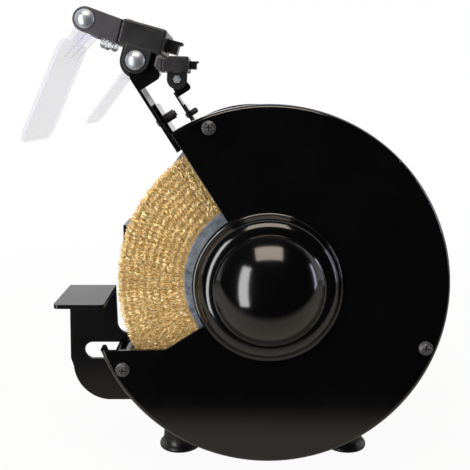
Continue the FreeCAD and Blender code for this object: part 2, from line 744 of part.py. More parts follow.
# Guard cover with its pressed dome
skirt_in = drum_radius + cover_gap
dome_x = guard_face + dome_height
cap_x = guard_face + 11
cap_rise = dome_x - cap_x
cap_radius = (dome_neck * dome_neck + cap_rise * cap_rise) / (2 * cap_rise)
inner_cap = cap_radius - sheet_gauge
cap_centre = dome_x - cap_radius
neck_in = dome_neck - sheet_gauge
cap_in_x = cap_centre + root(inner_cap * inner_cap - neck_in * neck_in)
cover = Piece("guard_cover_right")
cover.turn([
    (guard_face - skirt_depth, skirt_in), (guard_face - sheet_gauge - 1, skirt_in, 1, -1),
    (guard_face - sheet_gauge, skirt_in - 1), (guard_face - sheet_gauge, dome_base - 0.4),
    (guard_face + 0.9, dome_base - 3.3, bead_radius - sheet_gauge, -1), (cap_x - 2.9, dome_neck + 2.3),
    (cap_x - 2.9, dome_neck + 0.2), (cap_in_x, neck_in, inner_cap, -1), (dome_x - sheet_gauge, 0),
    (dome_x, 0, cap_radius, 1), (cap_x, dome_neck), (cap_x - 1, dome_neck + 1.1),
    (cap_x - 0.9, dome_neck + 2.2, bead_radius, 1), (guard_face + 2, dome_base - 1.7, 3.2, -1),
    (guard_face, dome_base + 1.2), (guard_face, guard_radius - edge_radius, edge_radius, 1),
    (guard_face - edge_radius, guard_radius), (guard_face - skirt_depth, guard_radius),
])
cover.pocket("YZ", [opening(dome_base + 1.5, cover_lip)], guard_face - skirt_depth - 1, guard_face + 1)
cover.pocket("YZ", [circle(y, z, 2.7) for y, z in pillars], guard_face - 6, guard_face + 2)
at_spindle(cover)
mirrored(cover.body, "guard_cover_left")

pan = Piece("cover_screw_form", keep=False)
pan.turn([(-13, 0), (-13, 2), (-12.5, 2.5), (0, 2.5), (0, 4.5), (1.4, 4.5, 6, 1), (3.2, 2), (3.2, 0)])
pan.pocket("YZ", [rect(-2.4, 2.4, -0.55, 0.55)], 1.8, 5)
pan.pocket("YZ", [rect(-0.55, 0.55, -2.4, 2.4)], 1.8, 5)
cover_set = [copy_at(pan.body, guard_face, y, spindle_height + z) for y, z in pillars]
pair("cover_screws", cover_set)
wide = Piece("guard_screw_form", keep=False)
wide.turn([(-13, 0), (-13, 2.9), (0, 2.9), (0, 5), (2, 5, 5, 1), (3.6, 2.4), (3.6, 0)])
guard_set = [copy_at(wide.body, guard_back + sheet_gauge, y, spindle_height + z) for y, z in guard_bolts]
pair("guard_screws", guard_set)

# Spark arrester plate with the ear that carries the lamp unit
back_y = size(-1.8)
arrester = Piece("arrester_right")
arrester.pad("YZ", [rect(back_y - tab_gauge, back_y, arrester_tip, arrester_top)], arrester_x,
             ear_x + tab_gauge)
ear_foot = arrester_top - 4.5
arrester.pad("YZ", [[
    (back_y - tab_gauge, ear_foot), (10.5, ear_foot, 4, 1), (14.2, ear_foot + 4.6),
    (pivot_back + 6.2, pivot_radial + 2, 7, 1),
    (pivot_back, pivot_radial + 6.5, 7, 1), (pivot_back - 6.2, pivot_radial + 2),
    (back_y - tab_gauge, arrester_top + 5),
]], ear_x, ear_x + tab_gauge)
arrester.pocket("XZ", [upright(slot(screw_radial - 8, screw_radial + 2.2, arrester_x + 17, 2.3))], -6, 0)
arrester.pocket("YZ", [circle(pivot_back, pivot_radial, bolt_radius + 0.05)], ear_x - 1, ear_x + 5)
place(arrester.body, z=spindle_height, turn=spark_angle)
mirrored(arrester.body, "arrester_left")
grip = Piece("arrester_screw_form", keep=False)
head_y = back_y - tab_gauge - 0.05
grip.turn([(0, head_y - 2.6), (2, head_y - 2.6, 4, 1), (3.3, head_y - 1.2), (3.3, head_y),
           (2, head_y), (2, 8), (0, 8)],
          plane="XY", axis="V_Axis")
grip_right = copy_at(grip.body, arrester_x + 17, -(screw_radial * sind(spark_angle)),
                     spindle_height + screw_radial * cosd(spark_angle), spark_angle)
pair("arrester_screws", [grip_right])
sleeve = Piece("arrester_nut_form", keep=False)
sleeve.turn([(2.05, tab_gauge - 1.5), (3.2, tab_gauge - 1.5), (3.2, 7), (2.05, 7)], plane="XY",
            axis="V_Axis")
sleeve_right = copy_at(sleeve.body, arrester_x + 17, -(screw_radial * sind(spark_angle)),
                       spindle_height + screw_radial * cosd(spark_angle), spark_angle)
pair("arrester_nuts", [sleeve_right])

# Lamp unit, drawn about its lower pivot
pivot_y = pivot_back * cosd(spark_angle) - pivot_radial * sind(spark_angle)
pivot_z = spindle_height + pivot_back * sind(spark_angle) + pivot_radial * cosd(spark_angle)
tilt_change = lamp_tilt_left - lamp_tilt


def at_lamp(item):
    return place(item, y=pivot_y, z=pivot_z, turn=lamp_tilt)


def turned_left(source, label, here, there, change):
    """The mirrored sub-part of the left side, swung about its own pivot."""
    item = mirrored(source, label)
    y = there[0] - (here[0] * cosd(change) - here[1] * sind(change))
    z = there[1] - (here[0] * sind(change) + here[1] * cosd(change))
    return place(item, y=y, z=z, turn=change)


def lamp_pair(right, name):
    """The left lamp sub-part from the right one."""
    pivot = (pivot_y, pivot_z)
    return turned_left(right, name + "_left", pivot, pivot, tilt_change)


def lug(radius):
    return [(-radius, 0, radius, 1), (0, -radius, radius, 1), (radius, 0), (radius, case_floor + 1),
            (-radius, case_floor + 1)]


case_top = case_floor + case_high
lamp_mid = (lamp_in + lamp_out) / 2
case = Piece("battery_case_right")
case.pad("YZ", [rect(-case_front, case_rear, case_floor, case_top, 2)], lamp_in, lamp_out)
case.round_edges(1.6, lambda edge, mid: edge.Curve.TypeId == "Part::GeomLine"
                 and abs(mid.z - case_top.value) < 0.01
                 and abs(edge.tangentAt(edge.FirstParameter).y) > 0.9)
case.pad("YZ", [rect(0.4 - case_front, 4.4 - case_front, case_top - 0.8, case_top + 1.3, 0.8)],
         lamp_mid - 10, lamp_mid + 10)
case.pad("YZ", [lug(size(8))], ear_x + tab_gauge + 0.3, lamp_out)
case.pad("YZ", [lug(size(11))], ear_x - 7, ear_x - 0.3)
case.pocket("YZ", [rect(-case_front - 1, case_rear - 1.8, case_floor + case_wall, case_top - case_wall)],
            lamp_in + case_wall, lamp_out - case_wall)
case.pocket("YZ", [circle(0, 0, bolt_radius + 0.05)], ear_x - 8, lamp_out + 1)
case.pocket("YZ", [circle(0, 0, 5.6)], ear_x - 8, ear_x - 3.3)
case.pocket("XZ", [rect(lamp_mid - 6.3, lamp_mid + 6.3, case_floor + 3.5, case_floor + 12.5)],
            case_rear - 4, case_rear + 1)
at_lamp(case.body)
lamp_pair(case.body, "battery_case")

top_fall = case_top - 1
arm = [(-case_front, case_floor), (-case_front, top_fall),
       (-head_reach, head_rise + head_radius, head_radius, 1),
       (-head_reach - head_radius, head_rise, head_radius, 1), (-head_reach, head_rise - head_radius)]
head = Piece("lamp_head_right")
head.pad("YZ", [rect(-case_front - 3, -case_front, case_floor, top_fall)], lamp_in, lamp_out)
head.pad("YZ", [arm], lamp_in, lamp_in + cheek)
head.pad("YZ", [arm], lamp_out - cheek, lamp_out)
head.round_edges(0.8, lambda edge, mid: abs(mid.x - lamp_in.value) < 0.01
                 or abs(mid.x - lamp_out.value) < 0.01)
head.pad("YZ", [rect(-case_front - 14.5, -case_front - 1, case_floor + 2.8, case_floor + 6.8)],
         lamp_in + 1, lamp_out - 1)
head.pad("YZ", [rect(-case_front - 1, -case_front + 4.5, case_floor + case_wall + 0.2,
                     case_top - case_wall - 0.2)],
         lamp_in + case_wall + 0.2, lamp_out - case_wall - 0.2)
head.pocket("YZ", [circle(-head_reach, head_rise, bolt_radius + 0.05)], lamp_in - 1, lamp_out + 1)
led_places = [(lamp_mid - 7, -case_front - 10.5), (lamp_mid + 7, -case_front - 10.5),
              (lamp_mid, -case_front - 4.6)]
head.pocket("XY", [circle(x, y, 2.6) for x, y in led_places], case_floor, case_floor + 4.8)
at_lamp(head.body)
lamp_pair(head.body, "lamp_head")

led = Piece("led_form", keep=False)
led.turn([(0, case_floor - 5), (0, case_floor + 4.8), (2.5, case_floor + 4.8),
          (2.5, case_floor - 2.5, 2.5, -1)],
         axis="V_Axis")
led_copies = [copy_at(led.body, x, y) for x, y in led_places]
led_set = group("led_lamps_right", led_copies)
at_lamp(led_set)
lamp_pair(led_set, "led_lamps")

cell = Piece("cell_form", keep=False)
cell.turn([(lamp_in + 3, 0), (lamp_out - 4, 0), (lamp_out - 4, 1.9), (lamp_out - 5, 1.9),
           (lamp_out - 5, 5.2),
           (lamp_in + 3, 5.2)])
cell_z = case_floor + case_wall + 5.25
cell_set = group("batteries_right", [copy_at(cell.body, 0, -4.1, cell_z),
                                     copy_at(cell.body, 0, 6.7, cell_z)])
at_lamp(cell_set)
lamp_pair(cell_set, "batteries")

button = Piece("lamp_button_right")
button.pad("YZ", [[(case_rear - 1.4, case_floor + 3.8), (case_rear + 7.6, case_floor + 3.8),
                   (case_rear + 7.6, case_floor + 10), (case_rear + 9.6, case_floor + 11.2),
                   (case_rear + 9.6, case_floor + 12.2), (case_rear - 1.4, case_floor + 12.2)]],
           lamp_mid - 6, lamp_mid + 6)
at_lamp(button.body)
lamp_pair(button.body, "lamp_button")


def carriage_bolt(label, length):
    piece = Piece(label, keep=False)
    piece.turn([(lamp_out - length, 0), (lamp_out - length, bolt_radius), (lamp_out, bolt_radius),
                (lamp_out, 6),
                (lamp_out + 0.8, 6, 8, 1), (lamp_out + 3.2, 2), (lamp_out + 3.2, 0)])
    return piece.body


def bolt_nut(label, start):
    piece = Piece(label, keep=False)
    piece.pad("YZ", [hexagon(0, 0, 8), circle(0, 0, bolt_radius + 0.02)], start, start + 3.6)
    return piece.body


short_bolt = carriage_bolt("pivot_bolt_form", lamp_out - ear_x + 7.5)
long_bolt = carriage_bolt("shield_bolt_form", lamp_out - lamp_in + 5)
bolt_set = group("lamp_bolts_right", [copy_at(short_bolt),
                                      copy_at(long_bolt, 0, -head_reach, head_rise)])
at_lamp(bolt_set)
lamp_pair(bolt_set, "lamp_bolts")
pocket_nut = bolt_nut("pivot_nut_form", ear_x - 6.9)
cheek_nut = bolt_nut("shield_nut_form", lamp_in - 3.6)
nut_set = group("lamp_nuts_right", [copy_at(pocket_nut), copy_at(cheek_nut, 0, -head_reach, head_rise)])
at_lamp(nut_set)
lamp_pair(nut_set, "lamp_nuts")

# Clear eye shield, drawn about the front pivot
shield_end = shield_x + shield_wide
barrel_in = lamp_in + cheek + 0.4
barrel_out = lamp_out - cheek - 0.4
front = size(-7)
shield = Piece("eye_shield_right")
shield.pad("XZ", [[(shield_x + 7, -shield_drop), (shield_end - 7, -shield_drop),
                   (shield_end, -shield_drop + 7),
                   (shield_end, -21), (shield_end - 5, -16), (shield_x + 5, -16), (shield_x, -21),
                   (shield_x, -shield_drop + 7)]], front, front + shield_gauge)
shield.pad("YZ", [[(-4.2, 0), (front, -15.5), (front, -19), (front + shield_gauge, -19),
                   (front + shield_gauge, -16),
                   (-1.2, -3)]], barrel_in, barrel_out)
for rib_x in (barrel_in, lamp_mid - 1.2, barrel_out - 2.4):
    shield.pad("YZ", [[(-3.5, 0), (front + 0.5, -15), (front + 0.5, -27),
                       (front + shield_gauge, -27), (2.4, -9), (3, -2)]],
               rib_x, rib_x + 2.4)
shield.pad("YZ", [circle(0, 0, 5)], barrel_in, barrel_out)
shield.pocket("YZ", [circle(0, 0, bolt_radius + 0.08)], barrel_in - 1, barrel_out + 1)


def head_pivot(tilt):
    y = pivot_y - head_reach * cosd(tilt) - head_rise * sind(tilt)
    z = pivot_z - head_reach * sind(tilt) + head_rise * cosd(tilt)
    return y, z


hinge_right = head_pivot(lamp_tilt)
hinge_left = head_pivot(lamp_tilt_left)
place(shield.body, y=hinge_right[0], z=hinge_right[1], turn=shield_lean)
turned_left(shield.body, "eye_shield_left", hinge_right, hinge_left, shield_lean_left - shield_lean)

# Tool rest: bent plate with a clamping slot
rest_face = guard_back - 0.2
rest_back = rest_face - rest_gauge
rest = Piece("tool_rest_right")
low = -rest_bolt_z - 36
arm_edge = -rest_bolt_z + slot_half + 6.5
tail = -rest_bolt_y + 30
rest.pad("YZ", [[
    (-rest_reach, -rest_top), (-rest_reach, low + 30.5), (-rest_reach + 2, low + 24.5, 27, 1),
    (-rest_reach + 26, low), (tail - 10, low, 10, 1), (tail, low + 10), (tail, arm_edge - 10, 10, 1),
    (tail - 10, arm_edge), (-rest_inner + 8, arm_edge, 7, -1), (-rest_inner + 1, arm_edge + 7),
    (-rest_inner, -rest_top),
]], rest_back, rest_face)
rest.pad("XY", [[
    (rest_back, -rest_reach), (rest_near - 3, -rest_reach, 3, 1), (rest_near, -rest_reach + 3),
    (rest_near, -rest_inner - 3, 3, 1), (rest_near - 3, -rest_inner), (rest_back, -rest_inner),
]], -rest_top - rest_gauge, -rest_top)
rest.pocket("YZ", [slot(-rest_reach + 16, -rest_bolt_y + 16, -rest_bolt_z, slot_half)],
            rest_back - 1, rest_face + 1)
at_spindle(rest)
mirrored(rest.body, "tool_rest_left")

clamp = Piece("rest_bolt_form", keep=False)
clamp.turn([(guard_back - 17, 0), (guard_back - 17, 4.9), (guard_back + sheet_gauge, 4.9),
            (guard_back + sheet_gauge, 6.5),
            (guard_back + sheet_gauge + 1, 6.5, 9, 1), (guard_back + sheet_gauge + 3.4, 2),
            (guard_back + sheet_gauge + 3.4, 0)])
place(clamp.body, y=-rest_bolt_y, z=spindle_height - rest_bolt_z)
pair("rest_bolts", [clamp.body])
clamp_nuts = Piece("rest_nut_form", keep=False)
clamp_nuts.pad("YZ", [circle(0, 0, 9.5), circle(0, 0, 4.95)], rest_back - 1.8, rest_back - 0.1)
clamp_nuts.pad("YZ", [hexagon(0, 0, 15), circle(0, 0, 4.95)], rest_back - 9.8, rest_back - 1.8)
place(clamp_nuts.body, y=-rest_bolt_y, z=spindle_height - rest_bolt_z)
pair("rest_nuts", [clamp_nuts.body])

doc.recompute()
for item in doc.Objects:
    if "Invalid" in item.State or "Error" in item.State:
        raise RuntimeError("%s is %s" % (item.Label, item.State))
for item in pockets:
    before = item.BaseFeature.Shape.Volume
    if item.Shape.Volume >= before:
        raise RuntimeError("%s cuts nothing" % item.Label)
os.makedirs("parts", exist_ok=True)
for label, item in parts.items():
    shape = item.Shape
    if shape.isNull() or not shape.isValid():
        raise RuntimeError("%s has no valid shape" % label)
    shape.exportStep("parts/%s.step" % label)
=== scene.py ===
"""Bench grinder with a wire wheel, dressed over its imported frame."""
import logging
import math
from dataclasses import dataclass, field
from enum import Enum
from typing import Any, Dict, List, Optional, Sequence, Tuple

import bpy
import numpy as np
from mathutils import Matrix, Vector


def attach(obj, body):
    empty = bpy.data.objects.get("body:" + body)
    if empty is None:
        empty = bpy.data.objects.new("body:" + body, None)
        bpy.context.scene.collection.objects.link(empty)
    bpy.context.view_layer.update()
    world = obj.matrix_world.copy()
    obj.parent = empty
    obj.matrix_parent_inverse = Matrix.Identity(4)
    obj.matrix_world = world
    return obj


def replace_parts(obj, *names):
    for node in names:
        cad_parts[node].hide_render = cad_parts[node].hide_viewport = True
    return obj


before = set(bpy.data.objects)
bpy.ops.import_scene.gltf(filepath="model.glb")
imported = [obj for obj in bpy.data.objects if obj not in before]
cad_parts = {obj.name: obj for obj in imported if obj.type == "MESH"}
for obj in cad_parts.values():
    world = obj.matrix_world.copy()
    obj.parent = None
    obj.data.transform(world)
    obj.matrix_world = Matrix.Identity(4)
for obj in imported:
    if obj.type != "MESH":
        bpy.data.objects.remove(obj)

LOG = logging.getLogger("bench_grinder")
Point = Tuple[float, float, float]
Pair = Tuple[float, float]

MM = 0.001
MM_PER_M = 1000
FULL_TURN = 2 * math.pi
ORIGIN: Point = (0.0, 0.0, 0.0)
WHITE = (1, 1, 1, 1)
WELD = 0.00001  # points nearer than this become one

# Sockets of a Mix node that mixes colours
MIX_FACTOR, MIX_A, MIX_B = 0, 6, 7
MIX_COLOUR = 2

# How the finishes read their patterns
PATCH_DETAIL, PATCH_ROUGHNESS = 4.0, 0.6
TONE_RANGE: Pair = (0.35, 0.65)  # the part of the patch noise that turns tone into shade
GLOSS_RANGE: Pair = (0.3, 0.7)  # the part that turns the lower roughness into the higher
RIM_RANGE: Pair = (0.99, 0.8)  # cosine between flat and rounded normal, from no painted edge to full painted highlight and wear
COAT_ROUGHNESS = 0.1
RAY_SAMPLES = 8


class Side(Enum):
    """The two ends of the machine, by the sign of their X."""

    RIGHT = 1
    LEFT = -1

    @property
    def word(self) -> str:
        """The side as it stands in node and body names."""
        return self.name.lower()


class Surface(Enum):
    """How a finish gets its relief: soft waves, fine noise or packed cells."""

    PEEL = "peel"
    GRAIN = "grain"
    GRIT = "grit"


# Levels of detail of the two kinds of relief that are noise
NOISE_DETAIL: Dict[Surface, float] = {Surface.PEEL: 2.0, Surface.GRAIN: 5.0}


def linear(hex_code: str) -> Tuple[float, float, float, float]:
    """Turn an sRGB hex colour into linear light.

    Args:
        hex_code: Six hex digits with a leading hash.

    Returns:
        Red, green, blue and an alpha of one.
    """
    parts = [int(hex_code[i:i + 2], 16) / 255 for i in (1, 3, 5)]
    curve = [c / 12.92 if c <= 0.04045 else ((c + 0.055) / 1.055) ** 2.4 for c in parts]
    return (curve[0], curve[1], curve[2], 1.0)


def add_node(tree: bpy.types.NodeTree, kind: str, links: Optional[Dict[Any, Any]] = None,
             **settings: Any) -> bpy.types.Node:
    """Add a shader node with its settings, values and links.

    Args:
        tree: The node tree.
        kind: The node's type name.
        links: Input name or number to a value, or to the socket that feeds it.
        **settings: Properties of the node itself.

    Returns:
        The new node.
    """
    node = tree.nodes.new(kind)
    for key, value in settings.items():
        setattr(node, key, value)
    for key, value in (links or {}).items():
        if isinstance(value, bpy.types.NodeSocket):
            tree.links.new(value, node.inputs[key])
        else:
            node.inputs[key].default_value = value
    return node


@dataclass(frozen=True)
class Finish:
    """One real material: its two tones, gloss and relief, with sizes in millimetres."""

    name: str
    tone: str
    shade: str
    rough: Pair
    surface: Surface
    relief_mm: float
    depth_mm: float
    patch_mm: float
    metallic: float = 0.0
    ior: Optional[float] = None
    coat: float = 0.0
    transmission: float = 0.0
    alpha: float = 1.0
    # Colour painted along the edges: a painted highlight where they round to the light, with rubbed
    # wear
    edge: Optional[str] = None
    edge_mm: float = 0.5
    edge_alpha: Optional[float] = None
    # Painted shade: a dark colour painted into gaps and hollows, the reach of the occlusion that finds
    # them, and the range it is read over
    dirt: str = "#020202"
    dirt_mm: float = 0.0
    dirt_range: Pair = (0.55, 0.9)
    stretch: Point = (1.0, 1.0, 1.0)

    def build(self) -> bpy.types.Material:
        """Make the node material of this finish, once.

        Returns:
            The material.
        """
        made = bpy.data.materials.get(self.name)
        if made is not None:
            return made
        made = bpy.data.materials.new(self.name)
        made.use_nodes = True
        tree = made.node_tree
        tree.nodes.clear()
        place = add_node(tree, "ShaderNodeTexCoord")
        turned = add_node(tree, "ShaderNodeMapping", {
            "Vector": place.outputs["Object"], "Scale": self.stretch})
        patch = add_node(tree, "ShaderNodeTexNoise", {
            "Vector": turned.outputs["Vector"], "Scale": MM_PER_M / self.patch_mm,
            "Detail": PATCH_DETAIL, "Roughness": PATCH_ROUGHNESS})
        colour = self.colour_node(tree, patch)
        gloss = add_node(tree, "ShaderNodeMapRange", {
            "Value": patch.outputs["Fac"], "From Min": GLOSS_RANGE[0], "From Max": GLOSS_RANGE[1],
            "To Min": self.rough[0], "To Max": self.rough[1]})
        relief = self.relief_node(tree, turned)
        bump = add_node(tree, "ShaderNodeBump", {
            "Height": relief.outputs[0], "Strength": 1.0, "Distance": self.depth_mm * MM})
        shader = add_node(tree, "ShaderNodeBsdfPrincipled", {
            "Base Color": colour.outputs[MIX_COLOUR], "Roughness": gloss.outputs["Result"],
            "Normal": bump.outputs["Normal"], "Metallic": self.metallic,
            "Coat Weight": self.coat, "Coat Roughness": COAT_ROUGHNESS,
            "Transmission Weight": self.transmission, "Alpha": self.alpha})
        if self.ior is not None:
            shader.inputs["IOR"].default_value = self.ior
        if self.edge is not None:
            self.wear(tree, shader, colour, bump)
        add_node(tree, "ShaderNodeOutputMaterial", {"Surface": shader.outputs["BSDF"]})
        return made

    def colour_node(self, tree: bpy.types.NodeTree, patch: bpy.types.Node) -> bpy.types.Node:
        """Mix the two tones in patches, and paint shade into the gaps and hollows that the light hardly
        reaches.

        Args:
            tree: The material's tree.
            patch: The noise that makes the patches.

        Returns:
            The mix with the colour on its colour output.
        """
        spread = add_node(tree, "ShaderNodeMapRange", {
            "Value": patch.outputs["Fac"], "From Min": TONE_RANGE[0], "From Max": TONE_RANGE[1]})
        colour = add_node(tree, "ShaderNodeMix", {
            MIX_FACTOR: spread.outputs["Result"], MIX_A: linear(self.tone),
            MIX_B: linear(self.shade)}, data_type="RGBA")
        # Painted shade: where the occlusion finds a gap or recess, the colour is painted darker
        if self.dirt_mm > 0:
            shelter = add_node(tree, "ShaderNodeAmbientOcclusion", {"Distance": self.dirt_mm * MM},
                               samples=RAY_SAMPLES)
            open_air = add_node(tree, "ShaderNodeMapRange", {
                "Value": shelter.outputs["AO"],
                "From Min": self.dirt_range[0], "From Max": self.dirt_range[1]})
            colour = add_node(tree, "ShaderNodeMix", {
                MIX_FACTOR: open_air.outputs["Result"], MIX_A: linear(self.dirt),
                MIX_B: colour.outputs[MIX_COLOUR]}, data_type="RGBA")
        return colour

    def relief_node(self, tree: bpy.types.NodeTree, turned: bpy.types.Node) -> bpy.types.Node:
        """Add the pattern that gives the relief.

        Args:
            tree: The material's tree.
            turned: The mapping that feeds the pattern.

        Returns:
            The pattern node, its height on the first output.
        """
        values = {"Vector": turned.outputs["Vector"], "Scale": MM_PER_M / self.relief_mm}
        if self.surface is Surface.GRIT:
            return add_node(tree, "ShaderNodeTexVoronoi", values)
        return add_node(tree, "ShaderNodeTexNoise", {**values, "Detail": NOISE_DETAIL[self.surface]})

    def wear(self, tree: bpy.types.NodeTree, shader: bpy.types.Node, colour: bpy.types.Node,
             bump: bpy.types.Node) -> None:
        """Round the edges to the light and paint them to their own tone: painted edge light, with
        rubbed wear.

        Args:
            tree: The material's tree.
            shader: The shader that gets the colour with the painted edges.
            colour: The mix that gives the colour away from the edges.
            bump: The relief, which takes the rounded normal.
        """
        soft = add_node(tree, "ShaderNodeBevel", {"Radius": self.edge_mm * MM}, samples=RAY_SAMPLES)
        flat = add_node(tree, "ShaderNodeNewGeometry")
        meet = add_node(tree, "ShaderNodeVectorMath", {
            0: soft.outputs[0], 1: flat.outputs["Normal"]}, operation="DOT_PRODUCT")
        rim = add_node(tree, "ShaderNodeMapRange", {
            "Value": meet.outputs["Value"], "From Min": RIM_RANGE[0], "From Max": RIM_RANGE[1]})
        # Painted highlight and wear: the edge colour is mixed in where the rounded normal turns away
        # from the flat one
        highlit_and_worn = add_node(tree, "ShaderNodeMix", {
            MIX_FACTOR: rim.outputs["Result"], MIX_A: colour.outputs[MIX_COLOUR],
            MIX_B: linear(self.edge)}, data_type="RGBA")
        tree.links.new(highlit_and_worn.outputs[MIX_COLOUR], shader.inputs["Base Color"])
        tree.links.new(soft.outputs[0], bump.inputs["Normal"])
        if self.edge_alpha is not None:
            lit = add_node(tree, "ShaderNodeMapRange", {
                "Value": rim.outputs["Result"], "To Min": self.alpha, "To Max": self.edge_alpha})
            tree.links.new(lit.outputs["Result"], shader.inputs["Alpha"])


# Stoved enamel on sheet steel: wet black with a faint orange peel, its edges painted greyer as a
# painted highlight with rubbed wear
GLOSS_ENAMEL = Finish(
    "gloss black enamel on sheet steel", "#050506", "#080809", (0.11, 0.15), Surface.PEEL,
    relief_mm=6.0, depth_mm=0.0012, patch_mm=60.0, coat=0.2, edge="#2a2a2c", edge_mm=0.4)
# The same enamel, thinner, on bent brackets: satin with soft light on its flats, its edges painted
# greyer as a painted highlight with rubbed wear
SATIN_ENAMEL = Finish(
    "satin black enamel on bent steel", "#060608", "#09090b", (0.2, 0.25), Surface.PEEL,
    relief_mm=6.0, depth_mm=0.001, patch_mm=40.0, ior=1.4, edge="#333336", edge_mm=0.5)
# Thick paint over sand casting: a low pebbled relief that breaks up the light
CAST_PAINT = Finish(
    "black paint on sand-cast iron", "#0c0c0d", "#131314", (0.36, 0.48), Surface.GRAIN,
    relief_mm=2.2, depth_mm=0.08, patch_mm=22.0)
# Moulded ABS with a spark-eroded texture: dull black, its rounded edges painted paler as a painted
# highlight with rubbed wear.
# The texture is drawn coarser than the real 0.1 mm so that it shows.
CASE_ABS = Finish(
    "black moulded ABS", "#18181a", "#202022", (0.28, 0.4), Surface.GRAIN,
    relief_mm=0.6, depth_mm=0.02, patch_mm=18.0, edge="#4c4c50", edge_mm=0.7)
# The lamp heads' ABS: the same texture, also drawn coarser, on a lighter and duller charcoal, its edges
# painted paler as a painted highlight with rubbed wear
HEAD_ABS = Finish(
    "charcoal moulded ABS", "#312f35", "#3a383e", (0.34, 0.46), Surface.GRAIN,
    relief_mm=0.6, depth_mm=0.02, patch_mm=18.0, edge="#5e5c64", edge_mm=0.7)
# ABS from a polished mould: smooth black that keeps a clear highlight
GLOSS_ABS = Finish(
    "gloss black ABS", "#101011", "#151516", (0.12, 0.2), Surface.PEEL,
    relief_mm=3.0, depth_mm=0.003, patch_mm=20.0)
# Coloured ABS from a polished mould: an even green with a soft shine
GREEN_ABS = Finish(
    "green moulded ABS", "#1f6a34", "#236f38", (0.2, 0.28), Surface.PEEL,
    relief_mm=3.0, depth_mm=0.003, patch_mm=12.0)
# Blue-passivated zinc on turned steel: cool, soft mirror with clouding
ZINC = Finish(
    "bright zinc plate on steel", "#c3cbd2", "#a9b2bb", (0.34, 0.46), Surface.GRAIN,
    relief_mm=1.2, depth_mm=0.004, patch_mm=6.0, metallic=0.85)
# Zinc on pressed steel that has lost its shine: blue-grey with darker clouds
DULL_ZINC = Finish(
    "dull zinc plate on pressed steel", "#9ea6b0", "#5c656f", (0.34, 0.48), Surface.GRAIN,
    relief_mm=1.6, depth_mm=0.01, patch_mm=5.0, metallic=0.6)
# Blackened screw steel: dark grey, its edges painted bright as a painted highlight with rubbed wear,
# and painted shade that blackens its recess
BLACK_OXIDE = Finish(
    "black oxide on screw steel", "#4c4c50", "#3a3a3e", (0.32, 0.42), Surface.GRAIN,
    relief_mm=0.8, depth_mm=0.004, patch_mm=3.0, metallic=0.5, edge="#a8a8ac", edge_mm=0.3,
    dirt_mm=1.5)
# Brass-coated crimped wire: warm, with darker and brighter strands, and painted shade that browns the
# gaps between them
BRASS_WIRE = Finish(
    "brass-coated steel wire", "#fff3c0", "#e2a844", (0.2, 0.3), Surface.GRAIN,
    relief_mm=1.0, depth_mm=0.01, patch_mm=1.1, metallic=0.3, dirt="#4a2c08", dirt_mm=1.2,
    dirt_range=(0.1, 0.55))
# The same wire packed tight: a rough bed, gold to brown, that shows only between the strands
WIRE_BED = Finish(
    "packed brass wire", "#d8ac58", "#6a4a1a", (0.5, 0.6), Surface.GRIT,
    relief_mm=0.8, depth_mm=0.5, patch_mm=1.3)
# Ground bar and ring steel: bright neutral metal with a fine grain
GROUND_STEEL = Finish(
    "ground steel", "#a7a7a8", "#8f8f91", (0.22, 0.32), Surface.GRAIN,
    relief_mm=0.8, depth_mm=0.004, patch_mm=8.0, metallic=1.0)
# Stacked sheets: dark metal with fine lines across the stack
CORE_STEEL = Finish(
    "stacked electrical steel", "#4b4b4d", "#3a3a3c", (0.45, 0.55), Surface.GRAIN,
    relief_mm=0.6, depth_mm=0.05, patch_mm=10.0, metallic=1.0, stretch=(6.0, 0.4, 0.4))
# Varnished winding wire: reddish brown, knobbly as packed turns are
COPPER = Finish(
    "enamelled copper winding", "#9a5327", "#7c3f1c", (0.28, 0.4), Surface.GRIT,
    relief_mm=1.4, depth_mm=0.3, patch_mm=5.0, metallic=0.8)
# Cast aluminium: pale grey metal with a soft grain
ALLOY = Finish(
    "cast aluminium", "#a9abae", "#95979b", (0.35, 0.45), Surface.GRAIN,
    relief_mm=1.0, depth_mm=0.03, patch_mm=9.0, metallic=1.0)
# Vitrified grit: dull grey grains, drawn coarser than the real 0.5 mm of grit 36 so that they show
STONE = Finish(
    "vitrified aluminium oxide", "#77777a", "#5f5f63", (0.75, 0.9), Surface.GRIT,
    relief_mm=0.8, depth_mm=0.25, patch_mm=1.5)
# Blotter card: matt buff paper with a faint fibre
CARD = Finish(
    "blotter card", "#b9a97c", "#a8986d", (0.8, 0.9), Surface.GRAIN,
    relief_mm=0.7, depth_mm=0.03, patch_mm=6.0)
# Moulded rubber: near black with a dull sheen on its flare
RUBBER = Finish(
    "moulded black rubber", "#0b0b0b", "#111111", (0.3, 0.42), Surface.GRAIN,
    relief_mm=0.9, depth_mm=0.01, patch_mm=9.0)
# Clear polycarbonate sheet: faint cool tint, darker where the light runs along its edge
CLEAR_SHEET = Finish(
    "clear polycarbonate", "#d0cdee", "#cac7e8", (0.05, 0.08), Surface.PEEL,
    relief_mm=30.0, depth_mm=0.0005, patch_mm=40.0, ior=1.58, alpha=0.16, edge="#8f8da0",
    edge_mm=0.5, edge_alpha=0.5)
# Cast epoxy of the lamp diodes: smooth and clear as water
EPOXY = Finish(
    "clear epoxy", "#f2f5f7", "#eef1f4", (0.03, 0.06), Surface.PEEL,
    relief_mm=4.0, depth_mm=0.001, patch_mm=8.0, ior=1.5, transmission=0.85)
# Metal jacket of the cells, left plain: smooth mid grey with a soft mirror
CELL_JACKET = Finish(
    "printed metal jacket", "#8d8f92", "#7c7e82", (0.25, 0.35), Surface.GRAIN,
    relief_mm=1.0, depth_mm=0.003, patch_mm=8.0, metallic=1.0)

